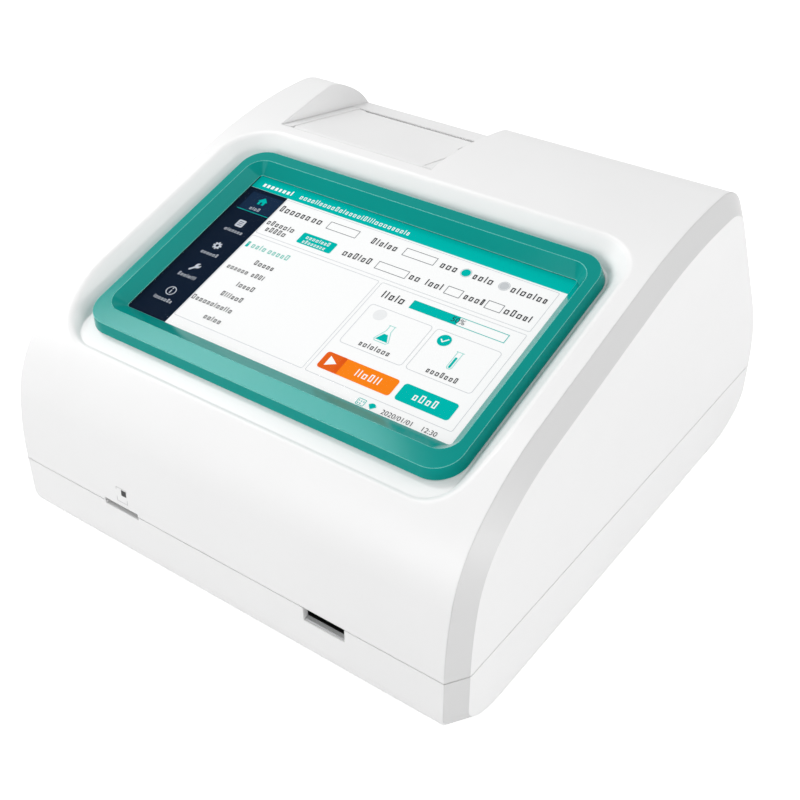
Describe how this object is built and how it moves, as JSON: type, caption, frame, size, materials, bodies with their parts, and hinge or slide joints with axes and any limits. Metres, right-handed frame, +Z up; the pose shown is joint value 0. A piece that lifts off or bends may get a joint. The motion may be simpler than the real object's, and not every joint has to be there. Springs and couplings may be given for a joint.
{
  "type": "rapid test reader",
  "caption": "Desktop reader for rapid test cards: wedge-shaped case with a tilted touch screen, card slots in the front, a motor-driven card tray inside, a printer bay on top and rear ports.",
  "frame": {"origin": "middle of the underside, on the table under the feet", "axes": "+Z up, +Y from the front with the card slots to the back with the ports, +X to the right seen from the front"},
  "size_m": [0.2194, 0.249, 0.1344],
  "materials": {
    "white_case": "white moulded plastic, satin",
    "teal_frame": "teal moulded plastic, glossy",
    "screen_glass": "clear touch glass over the picture",
    "display": "display module, dark",
    "sheet_steel": "zinc-plated sheet",
    "steel": "ground steel",
    "aluminium": "milled aluminium",
    "black_aluminium": "black anodised",
    "brass": "turned brass",
    "rubber": "matt black rubber",
    "nylon": "natural nylon",
    "ceramic": "glazed ceramic",
    "paper": "thermal paper",
    "cardboard": "brown cardboard",
    "grey_plastic": "grey moulded plastic",
    "dark_plastic": "black moulded plastic",
    "circuit": "green solder mask",
    "lens": "coated lens"
  },
  "bodies": {
    "case": {"upper_housing": "white_case", "lower_housing": "white_case", "screen_bezel": "teal_frame", "touch_glass": "screen_glass", "lcd_panel": "display", "lcd_bracket": "sheet_steel", "bracket_screws": "steel", "printer_frame": "white_case", "printer_motor": "sheet_steel", "print_head": "ceramic", "head_heatsink": "aluminium", "tear_bar": "steel", "scan_frame": "aluminium", "guide_rods": "steel", "scan_motor": "sheet_steel", "optics_bridge": "aluminium", "optical_head": "black_aluminium", "objective_lens": "lens", "light_source": "grey_plastic", "detector_board": "circuit", "card_mouth": "grey_plastic", "home_sensor": "dark_plastic", "main_board": "circuit", "board_screws": "steel", "id_card_socket": "dark_plastic", "rear_port_plate": "sheet_steel", "power_switch_body": "dark_plastic", "dc_inlet": "dark_plastic", "usb_sockets": "sheet_steel", "network_socket": "sheet_steel", "rubber_feet": "rubber", "case_screws": "steel"},
    "lid": {"printer_lid": "white_case", "lid_hinge_pin": "steel"},
    "release_lever": {"lid_release_lever": "white_case"},
    "platen": {"platen_shaft": "steel", "platen_rubber": "rubber", "platen_gear": "nylon"},
    "idler": {"idler_gear": "nylon"},
    "pinion": {"motor_pinion": "brass"},
    "paper": {"paper_roll": "paper", "roll_core": "cardboard"},
    "tray": {"card_tray": "dark_plastic", "screw_nut": "brass"},
    "screw": {"lead_screw": "steel", "motor_coupler": "aluminium"},
    "rocker": {"power_rocker": "dark_plastic"}
  },
  "joints": [
    {"name": "lid_hinge", "type": "hinge", "parent": "case", "child": "lid", "pos_m": [-0.0439, 0.02493, 0.12691], "axis": [1, 0, 0], "range_deg": [0, 80]},
    {"name": "release_lever_pivot", "type": "hinge", "parent": "lid", "child": "release_lever", "pos_m": [-0.0111, 0.0565, 0.12297], "axis": [1, 0, 0], "range_deg": [0, 12], "stiffness_Nm_per_rad": 0.02},
    {"name": "platen_spin", "type": "hinge", "parent": "lid", "child": "platen", "pos_m": [-0.0439, 0.06354, 0.11758], "axis": [1, 0, 0], "continuous": true},
    {"name": "idler_spin", "type": "hinge", "parent": "case", "child": "idler", "pos_m": [-0.0768, 0.06219, 0.10919], "axis": [1, 0, 0], "continuous": true},
    {"name": "pinion_spin", "type": "hinge", "parent": "case", "child": "pinion", "pos_m": [-0.0768, 0.06101, 0.10179], "axis": [1, 0, 0], "continuous": true},
    {"name": "paper_spin", "type": "hinge", "parent": "case", "child": "paper", "pos_m": [-0.0439, 0.04095, 0.0973], "axis": [1, 0, 0], "continuous": true},
    {"name": "tray_slide", "type": "slide", "parent": "case", "child": "tray", "axis": [0, 1, 0], "range_m": [0, 0.055]},
    {"name": "screw_spin", "type": "hinge", "parent": "case", "child": "screw", "pos_m": [0.05275, 0, 0.0138], "axis": [0, 1, 0], "range_deg": [-2480, 0]},
    {"name": "rocker_pivot", "type": "hinge", "parent": "case", "child": "rocker", "pos_m": [-0.058, 0.1159, 0.04], "axis": [0, 0, 1], "range_deg": [0, 18]}
  ],
  "couplings": [
    {"joint": "idler_spin", "follows": "platen_spin", "ratio": -0.7},
    {"joint": "pinion_spin", "follows": "platen_spin", "ratio": 1.4},
    {"joint": "screw_spin", "follows": "tray_slide", "rad_per_m": -785.4}
  ]
}
